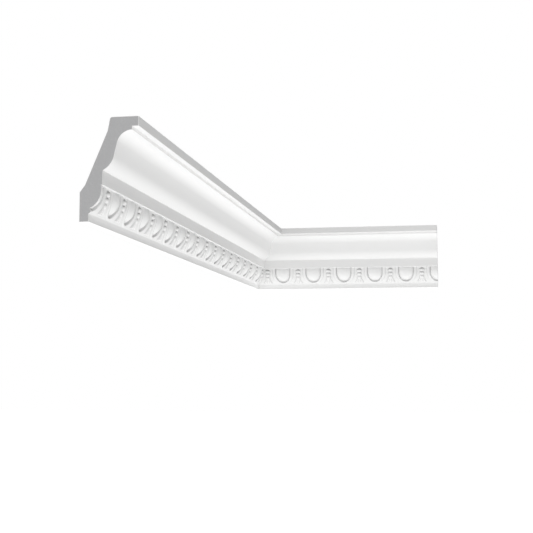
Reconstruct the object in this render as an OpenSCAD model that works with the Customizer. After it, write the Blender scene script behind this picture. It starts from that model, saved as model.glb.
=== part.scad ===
// Egg-and-dart cornice turned round an inside corner: two lengths of one section,
// mitred together at the corner and cut square at their outer ends.
// X runs along the short length, Y runs into the wall behind it and Z is up. The origin is
// where the two walls and the lower edge of the cornice meet. Sizes are in millimetres.

/* [Lengths] */
// Long length, from the inside corner to its square end
long_run = 1080; // [300:1:2000]
// Short length, from the inside corner to its square end
short_run = 382; // [150:1:1200]

/* [Overall section] */
// Height from the lower edge to the ceiling
drop = 120; // [112:0.5:160]
// Reach of the top fillet out from the wall
projection = 68.8; // [67:0.2:84]

/* [Top fillets] */
// Height of the outer top fillet
top_fillet_h = 11.4; // [6:0.1:14]
// Setback of the small fillet under it
small_fillet_back = 7.4; // [4:0.1:9]
// Height of the small fillet
small_fillet_h = 4.2; // [2:0.1:6]

/* [Cyma] */
// Radius of the hollow upper curve
hollow_r = 18; // [14:0.1:20]
// Radius of the swelling lower curve
swell_r = 25; // [18:0.1:27]
// Turn of the swelling curve where it meets the middle fillet, in degrees
swell_turn = 63; // [55:1:67]

/* [Middle fillet and carved band] */
// Reach of the middle fillet out from the wall
mid_fillet_out = 27.3; // [26:0.1:29]
// Height of the middle fillet
mid_fillet_h = 16.7; // [12:0.1:20]
// Depth of the carved band's ground behind the middle fillet
ground_back = 3.9; // [3:0.1:6]
// Height of the carved band
band_h = 32.8; // [32.2:0.1:36]
// Reach of the lower fillet out from the wall
low_fillet_out = 11.1; // [9:0.1:13]
// Height of the lower fillet
low_fillet_h = 9.1; // [6:0.1:14]

/* [Back] */
// Height of the flat face against the wall
wall_face_h = 34; // [20:0.5:40]
// Width of the flat face against the ceiling
ceiling_face_w = 31.2; // [28:0.2:36]
// Radius of the corner behind the ceiling face
back_round_r = 3; // [1:0.1:5]
// Thickness behind the top of the hollow
back_cover = 11.1; // [9:0.1:13]
// Reach of the bevel at the top of the wall face
back_bevel_out = 6.4; // [4:0.1:8]
// Height of that bevel
back_bevel_h = 8.6; // [6:0.1:12]

/* [Eggs] */
// Distance from one egg, or one dart, to the next
pitch = 63.5; // [58:0.1:80]
// Distance from the inside corner to the first dart
first_dart = 32.4; // [30:0.1:40]
// Half the width of an egg
egg_half_w = 14; // [12:0.1:15]
// Height of an egg, from the top of the band to its tip
egg_h = 27.8; // [25:0.1:28.4]
// Radius of an egg's swell in section
egg_r = 24.4; // [23:0.1:27]
// Radius of an egg's swell across its width
egg_cross_r = 39; // [32:0.5:60]
// Gap from an egg's crown back to the middle fillet's face
egg_back = 1.3; // [0.5:0.1:2.5]
// Width of the groove round an egg
groove_w = 1.8; // [1:0.1:2.4]
// Depth of the groove below the ground
groove_deep = 2; // [1:0.1:3]
// Width of the shell's rim beside the groove
shell_w = 4.8; // [3:0.1:6]
// Width of the shell's rim below the groove
shell_foot_w = 2.2; // [1:0.1:2.6]

/* [Darts] */
// Height of the rims and leaves above the ground, at the top of the band
relief_h = 1.3; // [0.6:0.1:2]
// Drop of the top husk below the top of the band
husk_drop = 1; // [0.5:0.1:2]
// Radius of the top husk of a dart
husk_r = 4.8; // [4:0.1:6]
// How much smaller each husk is than the one above
husk_taper = 0.5; // [0:0.1:1]
// Step down from one husk to the next
husk_step = 6; // [5:0.1:7]
// Height of a husk's crown above the ground
husk_proud = 2.2; // [1:0.1:3]
// Half the width of a dart's leaf at its shoulders
leaf_top_half_w = 4; // [3:0.1:5]
// Half the width of the leaf at its foot
leaf_foot_half_w = 9.3; // [7:0.1:11]
// Height of the leaf's foot above the lower fillet
leaf_lift = 3.5; // [3:0.1:5]
// Height of the leaf
leaf_h = 12.8; // [9:0.1:14]
// Height of the rib in the middle of the leaf
leaf_rib_h = 8.4; // [6:0.1:9]
// Width of a leg of the leaf, and of its middle rib
leaf_leg_w = 3; // [2:0.1:3.5]

/* [Hidden] */
$fn = 96;
husk_count = 3;
root_cover = 1;                                // least thickness behind the carving's roots
past = 5;                                      // how far a cutter runs past what it cuts
moulding_white = [0.93, 0.93, 0.92];

// Heights up from the lower edge
band_z = low_fillet_h + band_h;                // top of the carved band
mid_z = band_z + mid_fillet_h;                 // top of the middle fillet
small_z = drop - top_fillet_h;                 // top of the small fillet
hollow_z = small_z - small_fillet_h;           // top of the hollow

// Carved band: each arc starts upright at the band's top and ends on the lower fillet
ground_out = mid_fillet_out - ground_back;
ground_r = arc_radius(ground_out - low_fillet_out, band_h);
ground_mid = [ground_out - ground_r, band_z];
relief_out = ground_out + relief_h;
relief_r = arc_radius(relief_out - low_fillet_out, band_h);
relief_mid = [relief_out - relief_r, band_z];
core_out = back_bevel_out + root_cover;        // carving is rooted this far out from the wall
groove_half_w = egg_half_w + groove_w;
shell_half_w = groove_half_w + shell_w;
egg_foot_z = band_z - egg_h;
groove_foot_z = egg_foot_z - groove_w;
crown_out = mid_fillet_out - egg_back;
crown_mid_z = band_z - egg_r / 5;              // height at which an egg swells furthest
egg_axis_x = crown_out - egg_cross_r;

// Cyma: two arcs, and the straight line that touches both
small_out = projection - small_fillet_back;
hollow_mid = [small_out, hollow_z - hollow_r];
swell_end = [mid_fillet_out, mid_z];
swell_mid = swell_end + swell_r * [-cos(swell_turn), sin(swell_turn)];
mids = hollow_mid - swell_mid;
line_turn = atan2(mids.y, mids.x) - acos((hollow_r + swell_r) / norm(mids));
line_side = [cos(line_turn), sin(line_turn)];
hollow_end = hollow_mid - hollow_r * line_side;
swell_start = swell_mid + swell_r * line_side;

// Radius of an arc that starts upright and ends `back` behind and `down` below its start
function arc_radius(back, down) = (back * back + down * down) / (2 * back);

// How far the ground lies out from the wall at height z
function ground_at(z) = ground_mid.x + sqrt(ground_r * ground_r - (z - band_z) * (z - band_z));

// Places of the eggs along a run. One lies behind the mitre and one past the square end,
// so that what reaches over from them shows.
function egg_places(run) = [for (u = first_dart - pitch / 2; u < run + pitch; u = u + pitch) u];

// The section, with its curves as true arcs: X is out from the wall, Y is up
module section() {
    difference() {
        union() {
            section_outline();
            intersection() {
                translate(swell_mid) circle(r = swell_r);
                polygon([swell_start, swell_end, swell_end + [swell_r, 0],
                         swell_start + [swell_r, 0]]);
            }
            band_section(ground_mid, ground_r);
            translate([projection - ceiling_face_w, drop - back_round_r])
                circle(r = back_round_r);
        }
        translate(hollow_mid) circle(r = hollow_r);
    }
}

// The outline with straight sides, each curve standing as its chord
module section_outline() {
    polygon([
        [0, 0], [low_fillet_out, 0], [low_fillet_out, low_fillet_h], [ground_out, band_z],
        [mid_fillet_out, band_z], swell_end, swell_start, hollow_end, [small_out, hollow_z],
        [small_out, small_z], [projection, small_z], [projection, drop],
        [projection - ceiling_face_w, drop],
        [projection - ceiling_face_w - back_round_r, drop - back_round_r],
        [small_out - hollow_r - back_cover, hollow_z],
        [back_bevel_out, wall_face_h + back_bevel_h], [0, wall_face_h]
    ]);
}

// The part of the section inside an arc of the carved band
module band_section(mid, r) {
    intersection() {
        translate(mid) circle(r = r);
        translate([core_out, low_fillet_h]) square([ground_out, band_h]);
    }
}

// What a groove takes out of the band's section
module groove_section() {
    difference() {
        translate([core_out, low_fillet_h]) square([ground_out, band_h]);
        translate(ground_mid) circle(r = ground_r - groove_deep);
    }
}

// Stands a section up and runs it along -Y for the given length
module along(run) {
    rotate([90, 0, 0]) linear_extrude(run) children();
}

// Pushes an outline drawn in the face of the band out from the wall
module out_from_wall() {
    translate([core_out, 0, 0]) rotate([90, 0, 90]) linear_extrude(ground_out) children();
}

// A U of the given half width, with its foot at height foot_z, open at the top of the band
module u_outline(half_w, foot_z) {
    translate([0, foot_z + half_w]) circle(r = half_w);
    translate([-half_w, foot_z + half_w]) square([2 * half_w, band_z - foot_z - half_w]);
}

// The rim of the shell round each egg
module shell_outline() {
    difference() {
        u_outline(shell_half_w, groove_foot_z - shell_foot_w);
        u_outline(groove_half_w, groove_foot_z);
    }
}

// The leaf at the foot of a dart: two spreading legs and a middle rib
module leaf_outline() {
    foot = low_fillet_h + leaf_lift;
    top = foot + leaf_h;
    for (side = [-1, 1])
        polygon([[side * (leaf_top_half_w - leaf_leg_w), top], [side * leaf_top_half_w, top],
                 [side * leaf_foot_half_w, foot], [side * (leaf_foot_half_w - leaf_leg_w), foot]]);
    translate([-leaf_leg_w / 2, foot]) square([leaf_leg_w, leaf_rib_h]);
    translate([-leaf_top_half_w, top - leaf_leg_w / 2])
        square([2 * leaf_top_half_w, leaf_leg_w]);
}

// The husks of a dart, one under another
module husks() {
    for (i = [0 : husk_count - 1]) {
        r = husk_r - i * husk_taper;
        z = band_z - husk_drop - husk_r - i * husk_step;
        translate([ground_at(z) + husk_proud - r, 0, z]) sphere(r = r);
    }
}

// An egg's swell, as a ring about an upright axis behind the wall
module egg_swell() {
    translate([egg_axis_x, 0, 0]) rotate_extrude() intersection() {
        translate([crown_out - egg_r - egg_axis_x, crown_mid_z]) circle(r = egg_r);
        translate([-egg_axis_x, 0]) square([egg_cross_r, band_z]);
    }
}

// Everything carved on one run
module carving(run) {
    intersection() {
        out_from_wall() for (u = egg_places(run))
            translate([-u, 0]) u_outline(egg_half_w, egg_foot_z);
        for (u = egg_places(run)) translate([0, -u, 0]) egg_swell();
    }
    intersection() {
        translate([0, pitch, 0]) along(run + 3 * pitch) band_section(relief_mid, relief_r);
        out_from_wall() for (u = egg_places(run)) {
            translate([-u, 0]) shell_outline();
            translate([-u - pitch / 2, 0]) leaf_outline();
        }
    }
    for (u = egg_places(run)) translate([0, -u - pitch / 2, 0]) husks();
}

// One length, from its mitre at the corner to its square end
module length_of(run) {
    reach = projection + past;
    intersection() {
        union() {
            difference() {
                along(run) section();
                intersection() {
                    translate([0, pitch, 0]) along(run + 3 * pitch) groove_section();
                    out_from_wall() for (u = egg_places(run))
                        translate([-u, 0]) u_outline(groove_half_w, groove_foot_z);
                }
            }
            carving(run);
        }
        linear_extrude(drop)
            polygon([[-past, past], [reach, -reach], [reach, -run], [-past, -run]]);
    }
}

module long_length() {
    color(moulding_white) length_of(long_run);
}

module short_length() {
    color(moulding_white) mirror([1, 1, 0]) length_of(short_run);
}

long_length();
short_length();
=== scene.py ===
"""Egg-and-dart cornice turned round an inside corner, in two mitred lengths.

Each length is one closed skin. A repeat of the carved band is shaped from a grid, the rest of
the section is run past it, the repeat is copied along the length, and the skin is then cut
square at one end and mitred at the other.
"""

import math

import bmesh
import bpy
from mathutils import Matrix, Vector


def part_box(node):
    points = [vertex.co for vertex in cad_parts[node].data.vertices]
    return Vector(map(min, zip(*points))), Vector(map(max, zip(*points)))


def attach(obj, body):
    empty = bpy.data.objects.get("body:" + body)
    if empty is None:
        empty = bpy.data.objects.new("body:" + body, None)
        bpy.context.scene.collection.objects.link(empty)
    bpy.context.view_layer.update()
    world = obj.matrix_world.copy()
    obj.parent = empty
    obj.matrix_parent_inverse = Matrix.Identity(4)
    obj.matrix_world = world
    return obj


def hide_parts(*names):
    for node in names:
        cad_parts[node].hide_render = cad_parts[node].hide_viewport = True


bl_info = {
    "name": "Egg-and-dart cornice",
    "version": (1, 0, 0),
    "blender": (4, 5, 0),
    "location": "3D View > Sidebar > Cornice",
    "description": "Builds a carved cornice in two mitred lengths, with a plain stage",
    "category": "Add Mesh",
}

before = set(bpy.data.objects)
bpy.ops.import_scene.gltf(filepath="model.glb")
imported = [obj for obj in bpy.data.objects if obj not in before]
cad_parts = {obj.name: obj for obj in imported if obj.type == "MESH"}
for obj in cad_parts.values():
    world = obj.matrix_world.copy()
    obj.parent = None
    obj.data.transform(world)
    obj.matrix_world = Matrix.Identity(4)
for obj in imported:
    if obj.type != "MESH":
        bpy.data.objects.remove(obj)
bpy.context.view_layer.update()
LONG_LOW, LONG_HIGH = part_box("long_length")
SHORT_LOW, SHORT_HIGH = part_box("short_length")

MM = 0.001
CRISP_ANGLE = math.radians(8.0)   # edges that turn less than this are smoothed
DROP = LONG_HIGH.z - LONG_LOW.z
PROJECTION = LONG_HIGH.x - LONG_LOW.x
LONG_RUN = LONG_HIGH.y - LONG_LOW.y
SHORT_RUN = SHORT_HIGH.x - SHORT_LOW.x

# The materials of a length, in the order of its material slots
MATERIALS = ("primed_face", "sawn_foam", "carved_face")
PRIMED, SAWN, CARVED = range(len(MATERIALS))

# The stage, with its places and sizes in metres
FLOOR_HALF_W = 40.0
FLOOR_COLOUR = (0.02, 0.02, 0.02, 1.0)          # what it throws back, beside its own light
WHITE = (1.0, 1.0, 1.0, 1.0)
LAMP_W = 1.5
LAMP_PLACE = (-0.4, 0.5, 2.2)
FRONT = (-0.5, -0.87, 0.0)        # where the front light comes from
CAMERA_PLACE = (0.4237, -2.2583, -0.1672)
CAMERA_TILT = math.radians(5.389)
CAMERA_TURN = math.radians(9.990)
SENSOR_W = 36.0                   # in millimetres, as the lens is


def size(name, description, mm):
    """A length that a user may change, given in millimetres."""
    return bpy.props.FloatProperty(
        name=name, description=description, default=mm * MM, unit="LENGTH", precision=5)


def share(name, description, default):
    """A plain number from nought to one."""
    return bpy.props.FloatProperty(
        name=name, description=description, default=default, min=0.0, max=1.0)


def colour(name, description, default):
    """A surface colour, in linear light."""
    return bpy.props.FloatVectorProperty(
        name=name, description=description, default=default, subtype="COLOR",
        min=0.0, max=1.0)


class CorniceSection(bpy.types.PropertyGroup):
    """Sizes of the plain section."""
    top_fillet_h: size("Top fillet", "Height of the outer top fillet", 11.4)
    small_fillet_back: size("Small fillet setback", "Setback of the small fillet", 7.4)
    small_fillet_h: size("Small fillet", "Height of the small fillet", 4.2)
    hollow_r: size("Hollow", "Radius of the hollow upper curve of the cyma", 18.0)
    swell_r: size("Swell", "Radius of the swelling lower curve of the cyma", 25.0)
    swell_turn: bpy.props.FloatProperty(
        name="Swell turn", description="Turn of the swell where it meets the middle fillet",
        default=math.radians(63.0), subtype="ANGLE")
    mid_fillet_out: size("Middle fillet", "Reach of the middle fillet from the wall", 27.3)
    mid_fillet_h: size("Middle fillet height", "Height of the middle fillet", 16.7)
    low_fillet_out: size("Lower fillet", "Reach of the lower fillet from the wall", 11.1)
    low_fillet_h: size("Lower fillet height", "Height of the lower fillet", 9.1)
    wall_face_h: size("Wall face", "Height of the flat face against the wall", 34.0)
    ceiling_face_w: size("Ceiling face", "Width of the face against the ceiling", 31.2)
    back_round_r: size("Back rounding", "Radius behind the ceiling face", 3.0)
    back_cover: size("Back cover", "Thickness behind the top of the hollow", 11.1)
    back_bevel_out: size("Back bevel", "Reach of the bevel above the wall face", 6.4)
    back_bevel_h: size("Back bevel height", "Height of that bevel", 8.6)
    arris_r: size("Arris", "Rounding of the outer corners", 0.5)
    skin_w: size("Skin", "Thickness of the white skin that shows round a sawn end", 0.4)


class CorniceCarving(bpy.types.PropertyGroup):
    """Sizes of the egg-and-dart band."""
    band_h: size("Band", "Height of the carved band", 32.8)
    ground_back: size("Ground", "Depth of the ground behind the middle fillet", 3.9)
    pitch: size("Repeat", "Distance from one egg to the next", 63.5)
    first_dart: size("First dart", "Distance from the corner to the first dart", 32.4)
    straight_h: size("Straight sides", "Height of the straight sides of an egg", 10.0)
    groove_half_w: size("Groove half width", "From an egg's middle to its groove", 15.1)
    groove_foot: size("Groove foot", "From the band's top to the groove's foot", 28.4)
    groove_w: size("Groove", "Width of the groove round an egg", 2.2)
    groove_deep: size("Groove depth", "Depth of the groove beside an egg", 2.4)
    groove_foot_deep: size("Groove foot depth", "Depth of the groove under an egg", 2.2)
    egg_back: size("Egg setback", "From an egg's crown to the middle fillet's face", 1.3)
    egg_r: size("Egg swell", "Radius of an egg's swell in section", 24.4)
    egg_cross_r: size("Egg cross swell", "Radius of an egg's swell across it", 39.0)
    egg_crown: share("Egg crown", "Drop of an egg's crown, as a share of its swell's radius", 0.2)
    egg_edge_w: size("Egg edge", "Width over which an egg's edge turns in", 4.0)
    egg_edge_fall: size("Egg edge fall", "How far an egg's edge turns in", 0.5)
    shell_half_w: size("Shell half width", "From an egg's middle to its shell's edge", 20.8)
    shell_foot: size("Shell foot", "From the band's top to the shell's foot", 31.5)
    shell_h: size("Shell rim", "Height of the shell's rim", 1.9)
    shell_edge: share("Shell edge", "Height of the rim's outer edge, as a share of the rim's", 0.75)
    shell_slope_w: size("Shell slope", "Width over which the rim rises from its edge", 4.0)
    shell_fade: share("Shell fade", "How much of the rim's height is lost at its foot", 0.55)
    edge_w: size("Carved edge", "Width over which a carved edge falls", 1.0)
    husk_h: size("Husk", "Height of the top husk's crown above the ground", 3.0)
    husk_first: size("First husk", "From the band's top to the first husk's crown", 6.0)
    husk_step: size("Husk step", "From one husk's crown to the next", 6.9)
    husk_half_w: size("Husk half width", "Half the width of the top husk", 5.0)
    husk_rise: size("Husk rise", "From a husk's crown up to its edge", 3.3)
    husk_fall: size("Husk fall", "From a husk's crown down to its tip", 3.9)
    husk_shrink: share("Husk shrink", "How much smaller each husk is than the one above", 0.1)
    husk_count: bpy.props.IntProperty(
        name="Husks", description="Number of husks in a dart", default=3, min=1)
    leaf_top: size("Leaf top", "From the band's top to the shoulders of the leaf", 18.0)
    leaf_foot: size("Leaf foot", "From the band's top to the leaf's foot", 30.0)
    leaf_half_w: size("Leaf shoulders", "Half the width of the leaf at its shoulders", 3.4)
    leaf_flare: size("Leaf flare", "How much wider each side is at the foot", 5.9)
    leaf_h: size("Leaf height", "Height of the leaf above the ground", 1.3)
    leaf_edge_w: size("Leaf edge", "Width of the leaf's raised edge", 2.2)
    leaf_rib_half_w: size("Leaf rib", "Half the width of the leaf's rib, where it meets the leaf", 2.0)
    leaf_crest_half_w: size("Leaf rib crest", "Half the width of the rib's flat crest", 0.9)
    leaf_hollow: share("Leaf hollow", "Height of the leaf between rib and edge, as a share", 0.35)
    # The next two judge the hollows into which the carved face paints shade.
    hollow_reach: size("Hollow reach", "How far round a point its hollows are judged", 1.5)
    hollow_full: size("Hollow depth", "Depth below that surround that counts as a full hollow", 0.5)
    columns: bpy.props.IntProperty(
        name="Columns", description="Faces along one repeat", default=96, min=16)
    rows: bpy.props.IntProperty(
        name="Rows", description="Faces down the band", default=48, min=12)


class CorniceFinish(bpy.types.PropertyGroup):
    """Colours, painted shade and surface of the cornice."""
    coat: colour("Coat", "Colour of the primed face", (0.8, 0.8, 0.796))
    core: colour("Core", "Colour of the sawn foam", (0.485, 0.485, 0.49))
    # Painted shade: the next four darken the coat where it faces up, away from the light below, and in
    # the bottoms of the carving's hollows.
    painted_shade: colour("Painted shade", "Colour of the dust on what faces up", (0.3, 0.3, 0.3))
    plain_shade: share("Plain dust", "Dust on the plain faces that look up", 0.1)
    ledge_shade: share("Ledge dust", "Dust on the parts of the carving that look up", 0.65)
    hollow_shade: share("Hollow dust", "Dust in the hollows of the carving", 0.2)
    coat_roughness: share("Coat roughness", "Roughness of the primed face", 0.62)
    coat_gloss: share("Coat gloss", "Strength of the primed face's reflections", 0.3)
    core_roughness: share("Core roughness", "Roughness of the sawn foam", 0.9)
    core_gloss: share("Core gloss", "Strength of the sawn foam's reflections", 0.1)


class CorniceStage(bpy.types.PropertyGroup):
    """Floor, light and camera."""
    floor_depth: bpy.props.FloatProperty(
        name="Floor", description="Depth of the floor below the cornice", default=1.8,
        unit="LENGTH")
    floor_light: bpy.props.FloatProperty(
        name="Floor light", description="Brightness of the luminous floor", default=1.38)
    front_light: bpy.props.FloatProperty(
        name="Front light", description="Brightness of the surround in front", default=0.66)
    top_light: bpy.props.FloatProperty(
        name="Top light", description="Power of the soft lamp above and behind, in watts",
        default=42.0)
    lens: bpy.props.FloatProperty(
        name="Lens", description="Focal length of the camera in millimetres", default=73.98)


# ---------------------------------------------------------------- the plain section

ARRIS_STEPS = 3
SWELL_STEPS = 16
HOLLOW_STEPS = 18
BACK_STEPS = 6


def arc(middle, radius, start, end, steps):
    """Points on an arc from one angle to another, both ends included."""
    turns = [start + (end - start) * i / steps for i in range(steps + 1)]
    return [middle + radius * Vector((math.cos(t), math.sin(t))) for t in turns]


def rounded(before, corner, after, radius):
    """A corner eased by a small arc that touches the lines on both sides."""
    to_before = (before - corner).normalized()
    to_after = (after - corner).normalized()
    half = to_before.angle(to_after) / 2
    middle = corner + (to_before + to_after).normalized() * (radius / math.sin(half))
    start = corner + to_before * (radius / math.tan(half)) - middle
    end = corner + to_after * (radius / math.tan(half)) - middle
    turn = start.angle_signed(end)
    first = math.atan2(start.y, start.x)
    return arc(middle, radius, first, first - turn, ARRIS_STEPS)


def cyma(s):
    """The swelling and the hollow curve, from the middle fillet up to the small fillet."""
    hollow_z = DROP - s.top_fillet_h - s.small_fillet_h
    hollow_mid = Vector((PROJECTION - s.small_fillet_back, hollow_z - s.hollow_r))
    foot = Vector((s.mid_fillet_out, band_top(s) + s.mid_fillet_h))
    swell_mid = foot + s.swell_r * Vector((-math.cos(s.swell_turn), math.sin(s.swell_turn)))
    between = hollow_mid - swell_mid
    spread = math.acos((s.hollow_r + s.swell_r) / between.length)
    line_turn = math.atan2(between.y, between.x) - spread
    swell = arc(swell_mid, s.swell_r, -s.swell_turn, line_turn, SWELL_STEPS)
    hollow = arc(hollow_mid, s.hollow_r, math.pi + line_turn, math.pi / 2, HOLLOW_STEPS)
    return swell + hollow


def band_top(s):
    """Height of the top of the carved band."""
    return s.low_fillet_h + bpy.context.scene.cornice_carving.band_h


def section_points(s):
    """The section from the soffit over the carved band, round the back, to the lower fillet."""
    soffit_z = band_top(s)
    small_z = DROP - s.top_fillet_h
    small_out = PROJECTION - s.small_fillet_back
    back_out = PROJECTION - s.ceiling_face_w
    back_top = Vector((back_out, DROP))
    knee = Vector((small_out - s.hollow_r - s.back_cover, small_z - s.small_fillet_h))
    bevel_top = Vector((s.back_bevel_out, s.wall_face_h + s.back_bevel_h))
    curve = cyma(s)
    top_out = Vector((PROJECTION, DROP))
    lip = Vector((PROJECTION, small_z))
    small_top = Vector((small_out, small_z))
    small_foot = curve[-1]
    wall_foot = Vector((0.0, 0.0))
    low_out = Vector((s.low_fillet_out, 0.0))
    low_top = Vector((s.low_fillet_out, s.low_fillet_h))
    wall_top = Vector((0.0, s.wall_face_h))
    fillet_foot = Vector((s.mid_fillet_out, soffit_z))
    points = rounded(Vector((0.0, soffit_z)), fillet_foot, curve[0], s.arris_r)
    points += curve[:-1]
    points += rounded(curve[-2], small_foot, small_top, s.arris_r / 2)
    points += [small_top]
    points += rounded(small_top, lip, top_out, s.arris_r)
    points += rounded(lip, top_out, back_top, s.arris_r)
    points += arc(Vector((back_out, DROP - s.back_round_r)), s.back_round_r,
                  math.pi / 2, math.pi, BACK_STEPS)
    points += [knee, bevel_top, wall_top]
    points += rounded(wall_top, wall_foot, low_out, s.arris_r)
    points += rounded(wall_foot, low_out, low_top, s.arris_r)
    return points


# ---------------------------------------------------------------- the carved band

# Shares of the band's height, from its top down
LOWER_START, LOWER_END = 0.4, 0.85              # between them the carving takes its lower form
FADE_START, FADE_END = 0.95, 0.995              # between them it dies away above the lower fillet

# Shares of the leaf's height, from its shoulders down
SHOULDER_START = -0.15
LEAF_FADE_START, LEAF_FADE_END = 0.93, 1.03

LEAF_CURL = 1.8                                 # power with which the leaf's sides spread
LEAF_EDGE_SHARE = 0.7                           # width of the leaf's cut edge to another's
TINY = 1e-6


def ease(low, high, x):
    """Rises smoothly from nought at low to one at high."""
    t = min(max((x - low) / (high - low), 0.0), 1.0)
    return t * t * (3 - 2 * t)


def beyond_u(u, v, half_w, straight_h, foot):
    """How far a point lies outside a U with straight sides and an oval foot."""
    if v <= straight_h:
        return abs(u) - half_w
    x = u / half_w
    y = (v - straight_h) / (foot - straight_h)
    away = max(math.hypot(x, y), TINY)
    slope = math.hypot(x / half_w, y / (foot - straight_h)) / away
    return (away - 1) / slope


def egg_height(c, u, v, turn, ground_r, outside):
    """An egg's height above the ground, measured along the ground's normal."""
    crown = Vector((c.ground_back - c.egg_back - c.egg_r + ground_r, -c.egg_r * c.egg_crown))
    along = crown.dot(Vector((math.cos(turn), -math.sin(turn))))
    reach = along + math.sqrt(max(along ** 2 - crown.length_squared + c.egg_r ** 2, 0.0))
    cheek = u * u / (2 * c.egg_cross_r)
    edge = c.egg_edge_fall * ease(-c.egg_edge_w, -c.groove_w / 2, outside)
    return reach - ground_r - cheek - edge


def husk_height(c, x, v):
    """Husks one under another, each domed and steeper above than below."""
    height = 0.0
    for i in range(c.husk_count):
        down = v - c.husk_first - i * c.husk_step
        scale = 1 - i * c.husk_shrink
        length = c.husk_fall if down > 0 else c.husk_rise
        room = 1 - (x / (c.husk_half_w * scale)) ** 2 - (down / length) ** 2
        if room > 0:
            height = max(height, c.husk_h * scale * math.sqrt(room))
    return height


def leaf_height(c, x, v):
    """A spreading leaf with a raised edge and a middle rib."""
    down = (v - c.leaf_top) / (c.leaf_foot - c.leaf_top)
    if down < SHOULDER_START:
        return 0.0
    half_w = c.leaf_half_w + c.leaf_flare * max(down, 0.0) ** LEAF_CURL
    inside = ease(0.0, c.edge_w * LEAF_EDGE_SHARE, half_w - x) * ease(SHOULDER_START, 0.0, down)
    edge = 1 - ease(0.0, c.leaf_edge_w, half_w - c.edge_w - x)
    rib = 1 - ease(c.leaf_crest_half_w, c.leaf_rib_half_w, x)
    raised = c.leaf_hollow + (1 - c.leaf_hollow) * max(edge, rib)
    return c.leaf_h * inside * raised * (1 - ease(LEAF_FADE_START, LEAF_FADE_END, down))


def relief(c, u, turn, ground_r):
    """Height of the carving above the ground, u along from an egg's middle, at a turn down it."""
    v = ground_r * math.sin(turn)
    groove = beyond_u(u, v, c.groove_half_w, c.straight_h, c.groove_foot)
    shell = beyond_u(u, v, c.shell_half_w, c.straight_h, c.shell_foot)
    x = abs(c.pitch / 2 - abs(u))
    lower = ease(LOWER_START * c.band_h, LOWER_END * c.band_h, v)
    floor = -c.groove_deep - (c.groove_foot_deep - c.groove_deep) * lower
    slope = c.shell_edge + (1 - c.shell_edge) * ease(0.0, c.shell_slope_w, -shell)
    rim = c.shell_h * (1 - c.shell_fade * lower) * slope
    outer = rim * ease(-c.edge_w / 2, 0.0, -shell)
    outer = max(outer, husk_height(c, x, v), leaf_height(c, x, v))
    half = c.groove_w / 2
    in_egg = ease(half - c.edge_w, half, -groove)
    in_outer = ease(half - c.edge_w, half, groove)
    height = floor + (outer - floor) * in_outer
    if in_egg > 0:
        height += (egg_height(c, u, v, turn, ground_r, groove) - floor) * in_egg
    return height * (1 - ease(FADE_START * c.band_h, FADE_END * c.band_h, v))


def relief_and_hollow(c, u, turn, ground_r):
    """The carving's height at a place, and how deep a hollow it is there, from nought to one."""
    height = relief(c, u, turn, ground_r)
    aside = c.hollow_reach / ground_r
    along = (relief(c, u - c.hollow_reach, turn, ground_r)
             + relief(c, u + c.hollow_reach, turn, ground_r)) / 2
    upright = (relief(c, u, max(turn - aside, 0.0), ground_r)
               + relief(c, u, turn + aside, ground_r)) / 2
    return height, min(max((max(along, upright) - height) / c.hollow_full, 0.0), 1.0)


# ---------------------------------------------------------------- skins

CUT_REACH = 1e-7                  # points this near a cutting plane count as on it
JOIN_REACH = 2e-6                 # points this near each other become one
INNER_MERGE = 0.7                 # share of the skin's thickness within which its corners merge
GRID_SIDE = 0.5                   # the flat grid runs this far each way from its middle
GATHER_ONCE, GATHER_TWICE = 0.3, 0.125          # how strongly its columns gather
ACROSS_MITRE = Matrix(((0, -1, 0, 0), (-1, 0, 0, 0), (0, 0, 1, 0), (0, 0, 0, 1)))


def carved_tile(bm, s, c):
    """One repeat of the carved band, from dart to dart. Returns its rows of edges."""
    ground_out = s.mid_fillet_out - c.ground_back
    depth = ground_out - s.low_fillet_out
    ground_r = (depth ** 2 + c.band_h ** 2) / (2 * depth)
    sweep = math.asin(c.band_h / ground_r)
    grid = bmesh.ops.create_grid(bm, x_segments=c.columns, y_segments=c.rows, size=GRID_SIDE)
    top_row = [e for v in grid["verts"] for e in v.link_edges if is_row(e, GRID_SIDE)]
    low_row = [e for v in grid["verts"] for e in v.link_edges if is_row(e, -GRID_SIDE)]
    carved = bm.faces.layers.int["carved"]
    for face in bm.faces:
        face[carved] = 1
        face.material_index = CARVED
    # How deep each point lies in a hollow; the carved face paints shade there from it.
    hollow = bm.verts.layers.float["hollow"]
    for vert in grid["verts"]:
        u = c.pitch * gathered(vert.co.x)
        turn = (GRID_SIDE - vert.co.y) * sweep
        height, vert[hollow] = relief_and_hollow(c, u, turn, ground_r)
        out = ground_out - ground_r + (ground_r + height) * math.cos(turn)
        down = (ground_r + height) * math.sin(turn)
        vert.co = (out, -u, s.low_fillet_h + c.band_h - down)
    return list(dict.fromkeys(top_row)), list(dict.fromkeys(low_row))


def gathered(x):
    """Moves the columns of faces closer together beside the eggs, where the carving is finest."""
    turn = 2 * math.pi * x
    shift = GATHER_ONCE * math.sin(turn) + GATHER_TWICE * math.sin(2 * turn)
    return x + shift / (2 * math.pi)


def is_row(edge, level):
    """True for an edge of the flat grid that lies along the given side."""
    return all(abs(v.co.y - level) < JOIN_REACH for v in edge.verts)


def close_beside(bm, row, chain_vert, run_vert):
    """Fills the flat face between a row of the carved band and the section's own edge."""
    ends = [v for e in row for v in e.verts]
    first = max(ends, key=lambda v: v.co.y)
    last = min(ends, key=lambda v: v.co.y)
    sides = [bm.edges.new((first, chain_vert)), bm.edges.new((last, run_vert))]
    line = bm.edges.get((chain_vert, run_vert))
    bmesh.ops.contextual_create(bm, geom=row + sides + [line])


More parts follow.
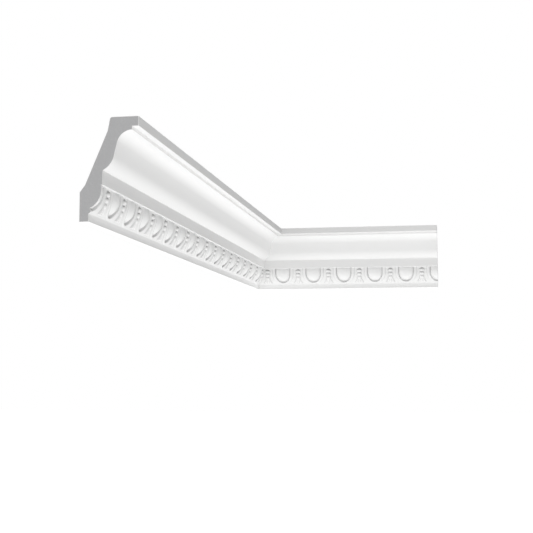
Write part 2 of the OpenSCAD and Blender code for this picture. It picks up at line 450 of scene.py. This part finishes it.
def repeat_skin(bm, s, c):
    """The whole section run over one repeat, open at both ends."""
    top_row, low_row = carved_tile(bm, s, c)
    chain = [bm.verts.new((p.x, c.pitch / 2, p.y)) for p in section_points(s)]
    edges = [bm.edges.new(pair) for pair in zip(chain, chain[1:])]
    grown = bmesh.ops.extrude_edge_only(bm, edges=edges)["geom"]
    run_on = [g for g in grown if isinstance(g, bmesh.types.BMVert)]
    bmesh.ops.translate(bm, verts=run_on, vec=(0.0, -c.pitch, 0.0))
    for row, vert in ((top_row, chain[0]), (low_row, chain[-1])):
        partner = next(e.other_vert(vert) for e in vert.link_edges
                       if e.other_vert(vert) in run_on)
        close_beside(bm, row, vert, partner)


def cut(bm, place, outward, skin_w):
    """Cuts the skin at a plane and closes it with a sawn face inside the skin's thickness."""
    everything = bm.verts[:] + bm.edges[:] + bm.faces[:]
    made = bmesh.ops.bisect_plane(bm, geom=everything, dist=CUT_REACH, plane_co=place,
                                  plane_no=outward, clear_outer=True)["geom_cut"]
    rim = [g for g in made if isinstance(g, bmesh.types.BMEdge)]
    sawn = bmesh.ops.holes_fill(bm, edges=rim, sides=0)["faces"]
    carved = bm.faces.layers.int["carved"]
    for face in sawn:
        face[carved] = 0
        face.material_index = SAWN
    if skin_w > 0:
        around = bmesh.ops.inset_region(bm, faces=sawn, thickness=skin_w, use_boundary=True,
                                        use_even_offset=True)["faces"]
        for face in around:
            face.material_index = PRIMED
        inner = [v for face in sawn if face.is_valid for v in face.verts]
        bmesh.ops.remove_doubles(bm, verts=inner, dist=INNER_MERGE * skin_w)


def cornice_length(name, node, run, mirrored):
    """One length, from the mitre at the corner to its square end."""
    s = bpy.context.scene.cornice_section
    c = bpy.context.scene.cornice_carving
    bm = bmesh.new()
    bm.faces.layers.int.new("carved")
    bm.verts.layers.float.new("hollow")
    repeat_skin(bm, s, c)
    one = bm.verts[:] + bm.edges[:] + bm.faces[:]
    first = c.first_dart - c.pitch / 2
    count = math.ceil((run - first) / c.pitch + 0.5)
    for i in range(1, count):
        copy = bmesh.ops.duplicate(bm, geom=one)["geom"]
        verts = [g for g in copy if isinstance(g, bmesh.types.BMVert)]
        bmesh.ops.translate(bm, verts=verts, vec=(0.0, -c.pitch * i, 0.0))
    bmesh.ops.translate(bm, verts=bm.verts[:], vec=(0.0, -first, 0.0))
    bmesh.ops.remove_doubles(bm, verts=bm.verts[:], dist=JOIN_REACH)
    cut(bm, (0.0, -run, 0.0), (0.0, -1.0, 0.0), s.skin_w)
    cut(bm, (0.0, 0.0, 0.0), (1.0, 1.0, 0.0), 0.0)
    if mirrored:
        bmesh.ops.transform(bm, matrix=ACROSS_MITRE, verts=bm.verts[:])
    bmesh.ops.recalc_face_normals(bm, faces=bm.faces[:])
    finish_edges(bm)
    mesh = bpy.data.meshes.new(name)
    bm.to_mesh(mesh)
    bm.free()
    piece = bpy.data.objects.new(name, mesh)
    bpy.context.scene.collection.objects.link(piece)
    for material in MATERIALS:
        mesh.materials.append(bpy.data.materials[material])
    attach(piece, "root")
    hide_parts(node)
    return piece


def finish_edges(bm):
    """Smooths the carving and the curves, and keeps the corners of the fillets crisp."""
    carved = bm.faces.layers.int["carved"]
    for face in bm.faces:
        face.smooth = True
    for edge in bm.edges:
        sides = edge.link_faces
        in_carving = all(f[carved] for f in sides)
        edge.smooth = in_carving or edge.calc_face_angle(0.0) < CRISP_ANGLE


# ---------------------------------------------------------------- materials

GRAIN_SCALE, WAVE_SCALE = 900.0, 14.0
WAVE_DARK = 0.985                 # the primer's darkest colour, as a share of its lightest
PEEL_STRENGTH, PEEL_DEPTH = 0.25, 0.06 * MM
CELL_SCALE = 1100.0
CELL_DARK, CELL_LIGHT = 0.9, 1.06               # shares of the foam's colour
CELL_STRENGTH, CELL_DEPTH = 0.5, 0.12 * MM
LEDGE_FULL = 0.6                  # upward part of the normal at which a ledge takes its full painted shade


def grain_group():
    """Node group: a fine grain and a slow unevenness, for any surface."""
    group = bpy.data.node_groups.new("Surface grain", "ShaderNodeTree")
    for name, default in (("Grain scale", GRAIN_SCALE), ("Wave scale", WAVE_SCALE)):
        socket = group.interface.new_socket(name, in_out="INPUT", socket_type="NodeSocketFloat")
        socket.default_value = default
    for name in ("Grain", "Wave"):
        group.interface.new_socket(name, in_out="OUTPUT", socket_type="NodeSocketFloat")
    nodes, links = group.nodes, group.links
    enter, leave = nodes.new("NodeGroupInput"), nodes.new("NodeGroupOutput")
    place = nodes.new("ShaderNodeTexCoord")
    for name, source, detail in (("Grain", "Grain scale", 3.0), ("Wave", "Wave scale", 1.0)):
        noise = nodes.new("ShaderNodeTexNoise")
        noise.inputs["Detail"].default_value = detail
        links.new(place.outputs["Object"], noise.inputs["Vector"])
        links.new(enter.outputs[source], noise.inputs["Scale"])
        links.new(noise.outputs["Fac"], leave.inputs[name])
    return group


def new_material(name, roughness, gloss):
    """A material and its shader, with the shader already joined to the output."""
    material = bpy.data.materials.new(name)
    material.use_nodes = True
    shader = material.node_tree.nodes["Principled BSDF"]
    shader.inputs["Roughness"].default_value = roughness
    shader.inputs["Specular IOR Level"].default_value = gloss
    return material, shader


def blended(material, factor, first, second):
    """A mix of two colours, each a plain colour or another node's output."""
    mix = material.node_tree.nodes.new("ShaderNodeMix")
    mix.data_type = "RGBA"
    for name, part in (("A", first), ("B", second)):
        if isinstance(part, bpy.types.NodeSocket):
            material.node_tree.links.new(part, mix.inputs[name])
        else:
            mix.inputs[name].default_value = (*part, 1.0)
    material.node_tree.links.new(factor, mix.inputs["Factor"])
    return mix.outputs["Result"]


def shade_share(material, ledges, hollows):
    """How much painted shade a place takes: what faces up, away from the light below, and the bottoms
    of the hollows.
    """
    nodes, links = material.node_tree.nodes, material.node_tree.links
    place = nodes.new("ShaderNodeTexCoord")
    axes = nodes.new("ShaderNodeSeparateXYZ")
    links.new(place.outputs["Normal"], axes.inputs["Vector"])
    ledge = nodes.new("ShaderNodeMapRange")
    ledge.interpolation_type = "SMOOTHSTEP"
    ledge.inputs["From Min"].default_value = 0.0
    ledge.inputs["From Max"].default_value = LEDGE_FULL
    ledge.inputs["To Max"].default_value = ledges
    links.new(axes.outputs["Z"], ledge.inputs["Value"])
    hollow = nodes.new("ShaderNodeAttribute")
    hollow.attribute_name = "hollow"
    both = nodes.new("ShaderNodeMath")
    both.operation = "MULTIPLY_ADD"
    both.use_clamp = True
    both.inputs[1].default_value = hollows
    links.new(hollow.outputs["Fac"], both.inputs[0])
    links.new(ledge.outputs["Result"], both.inputs[2])
    return both.outputs[0]


def bumped(material, height, strength, distance, shader):
    """Feeds a shader's normal from a height, through a bump of a real depth in metres."""
    bump = material.node_tree.nodes.new("ShaderNodeBump")
    bump.inputs["Strength"].default_value = strength
    bump.inputs["Distance"].default_value = distance
    material.node_tree.links.new(height, bump.inputs["Height"])
    material.node_tree.links.new(bump.outputs["Normal"], shader.inputs["Normal"])


def primed_face(name, finish, ledges, hollows):
    """The white factory primer: even and matt, with a slight orange-peel, and painted shade on its
    ledges and in its hollows.
    """
    material, shader = new_material(name, finish.coat_roughness, finish.coat_gloss)
    grain = material.node_tree.nodes.new("ShaderNodeGroup")
    grain.node_tree = bpy.data.node_groups["Surface grain"]
    dark = [WAVE_DARK * part for part in finish.coat]
    colour = blended(material, grain.outputs["Wave"], dark, finish.coat)
    # Painted shade: the colour darkens towards the shade colour where the surface faces up and in the
    # hollows.
    colour = blended(material, shade_share(material, ledges, hollows), colour, finish.painted_shade)
    material.node_tree.links.new(colour, shader.inputs["Base Color"])
    bumped(material, grain.outputs["Grain"], PEEL_STRENGTH, PEEL_DEPTH, shader)
    return material


def sawn_foam(finish):
    """The sawn end of the foam: pale grey, full of fine cells."""
    material, shader = new_material("sawn_foam", finish.core_roughness, finish.core_gloss)
    nodes, links = material.node_tree.nodes, material.node_tree.links
    place = nodes.new("ShaderNodeTexCoord")
    cells = nodes.new("ShaderNodeTexVoronoi")
    cells.inputs["Scale"].default_value = CELL_SCALE
    links.new(place.outputs["Object"], cells.inputs["Vector"])
    dark = [CELL_DARK * part for part in finish.core]
    light = [CELL_LIGHT * part for part in finish.core]
    links.new(blended(material, cells.outputs["Distance"], dark, light),
              shader.inputs["Base Color"])
    bumped(material, cells.outputs["Distance"], CELL_STRENGTH, CELL_DEPTH, shader)
    return material


# ---------------------------------------------------------------- operators

class CORNICE_OT_lengths(bpy.types.Operator):
    """Build both lengths of the cornice"""
    bl_idname = "cornice.lengths"
    bl_label = "Cornice lengths"

    def execute(self, context):
        finish = context.scene.cornice_finish
        grain_group()
        # Both primed materials paint shade where they face up; the carved one also in its hollows.
        primed_face("primed_face", finish, ledges=finish.plain_shade, hollows=0.0)
        primed_face("carved_face", finish, ledges=finish.ledge_shade, hollows=finish.hollow_shade)
        sawn_foam(finish)
        cornice_length("long_length_carved", "long_length", LONG_RUN, mirrored=False)
        cornice_length("short_length_carved", "short_length", SHORT_RUN, mirrored=True)
        return {"FINISHED"}


class CORNICE_OT_stage(bpy.types.Operator):
    """Lay the floor, light the scene and set the camera"""
    bl_idname = "cornice.stage"
    bl_label = "Stage"

    def execute(self, context):
        stage = context.scene.cornice_stage
        lay_floor(stage)
        light_surround(context.scene, stage)
        hang_lamp(context.scene, stage)
        place_camera(context.scene, stage)
        return {"FINISHED"}


def lay_floor(stage):
    """A wide, pale, softly luminous floor, far below the cornice."""
    bm = bmesh.new()
    bmesh.ops.create_grid(bm, x_segments=1, y_segments=1, size=FLOOR_HALF_W)
    bmesh.ops.translate(bm, verts=bm.verts[:], vec=(0.0, 0.0, -stage.floor_depth))
    mesh = bpy.data.meshes.new("floor")
    bm.to_mesh(mesh)
    bm.free()
    floor = bpy.data.objects.new("floor", mesh)
    bpy.context.scene.collection.objects.link(floor)
    material = bpy.data.materials.new("pale_floor")
    material.use_nodes = True
    shader = material.node_tree.nodes["Principled BSDF"]
    shader.inputs["Base Color"].default_value = FLOOR_COLOUR
    shader.inputs["Roughness"].default_value = 1.0
    shader.inputs["Specular IOR Level"].default_value = 0.0
    shader.inputs["Emission Color"].default_value = WHITE
    shader.inputs["Emission Strength"].default_value = stage.floor_light
    mesh.materials.append(material)


def light_surround(scene, stage):
    """A soft surround: bright in front, dark behind, and plain white where it is seen."""
    world = bpy.data.worlds.new("surround")
    world.use_nodes = True
    scene.world = world
    nodes, links = world.node_tree.nodes, world.node_tree.links
    place = nodes.new("ShaderNodeTexCoord")
    facing = nodes.new("ShaderNodeVectorMath")
    facing.operation = "DOT_PRODUCT"
    facing.inputs[1].default_value = FRONT
    links.new(place.outputs["Generated"], facing.inputs[0])
    front = nodes.new("ShaderNodeMath")
    front.operation = "MAXIMUM"
    front.inputs[1].default_value = 0.0
    links.new(facing.outputs["Value"], front.inputs[0])
    light = nodes.new("ShaderNodeMath")
    light.operation = "MULTIPLY"
    light.inputs[1].default_value = stage.front_light
    links.new(front.outputs[0], light.inputs[0])
    seen = nodes.new("ShaderNodeLightPath")
    mix = nodes.new("ShaderNodeMix")
    links.new(seen.outputs["Is Camera Ray"], mix.inputs["Factor"])
    links.new(light.outputs[0], mix.inputs["A"])
    mix.inputs["B"].default_value = 1.0
    links.new(mix.outputs["Result"], nodes["Background"].inputs["Strength"])
    nodes["Background"].inputs["Color"].default_value = WHITE


def hang_lamp(scene, stage):
    """A wide soft lamp above and behind, for the top and the back."""
    data = bpy.data.lights.new("overhead", "AREA")
    data.energy = stage.top_light
    data.size = LAMP_W
    lamp = bpy.data.objects.new("overhead", data)
    lamp.location = LAMP_PLACE
    lamp.rotation_euler = (-Vector(LAMP_PLACE)).to_track_quat("-Z", "Y").to_euler()
    scene.collection.objects.link(lamp)


def place_camera(scene, stage):
    """The camera, low in front of the corner and looking up at it past the long length."""
    data = bpy.data.cameras.new("camera")
    data.lens = stage.lens
    data.sensor_width = SENSOR_W
    camera = bpy.data.objects.new("camera", data)
    scene.collection.objects.link(camera)
    camera.location = CAMERA_PLACE
    camera.rotation_euler = (math.pi / 2 + CAMERA_TILT, 0.0, CAMERA_TURN)
    scene.camera = camera
    scene.view_settings.view_transform = "Standard"


class CORNICE_PT_panel(bpy.types.Panel):
    """Sizes and steps of the cornice"""
    bl_label = "Cornice"
    bl_space_type = "VIEW_3D"
    bl_region_type = "UI"
    bl_category = "Cornice"

    def draw(self, context):
        for holder, group in SETTINGS.items():
            box = self.layout.box()
            for name in group.__annotations__:
                box.prop(getattr(context.scene, holder), name)
        for operator in (CORNICE_OT_lengths, CORNICE_OT_stage):
            self.layout.operator(operator.bl_idname)


SETTINGS = {
    "cornice_section": CorniceSection,
    "cornice_carving": CorniceCarving,
    "cornice_finish": CorniceFinish,
    "cornice_stage": CorniceStage,
}
OTHER_CLASSES = (CORNICE_OT_lengths, CORNICE_OT_stage, CORNICE_PT_panel)


def register():
    """Adds the settings, the operators and the panel."""
    for name, group in SETTINGS.items():
        bpy.utils.register_class(group)
        setattr(bpy.types.Scene, name, bpy.props.PointerProperty(type=group))
    for cls in OTHER_CLASSES:
        bpy.utils.register_class(cls)


def unregister():
    """Takes them away again."""
    for cls in reversed(OTHER_CLASSES):
        bpy.utils.unregister_class(cls)
    for name, group in SETTINGS.items():
        delattr(bpy.types.Scene, name)
        bpy.utils.unregister_class(group)


def main():
    """Builds the cornice and its stage."""
    register()
    bpy.ops.cornice.lengths()
    bpy.ops.cornice.stage()


if __name__ == "__main__":
    main()
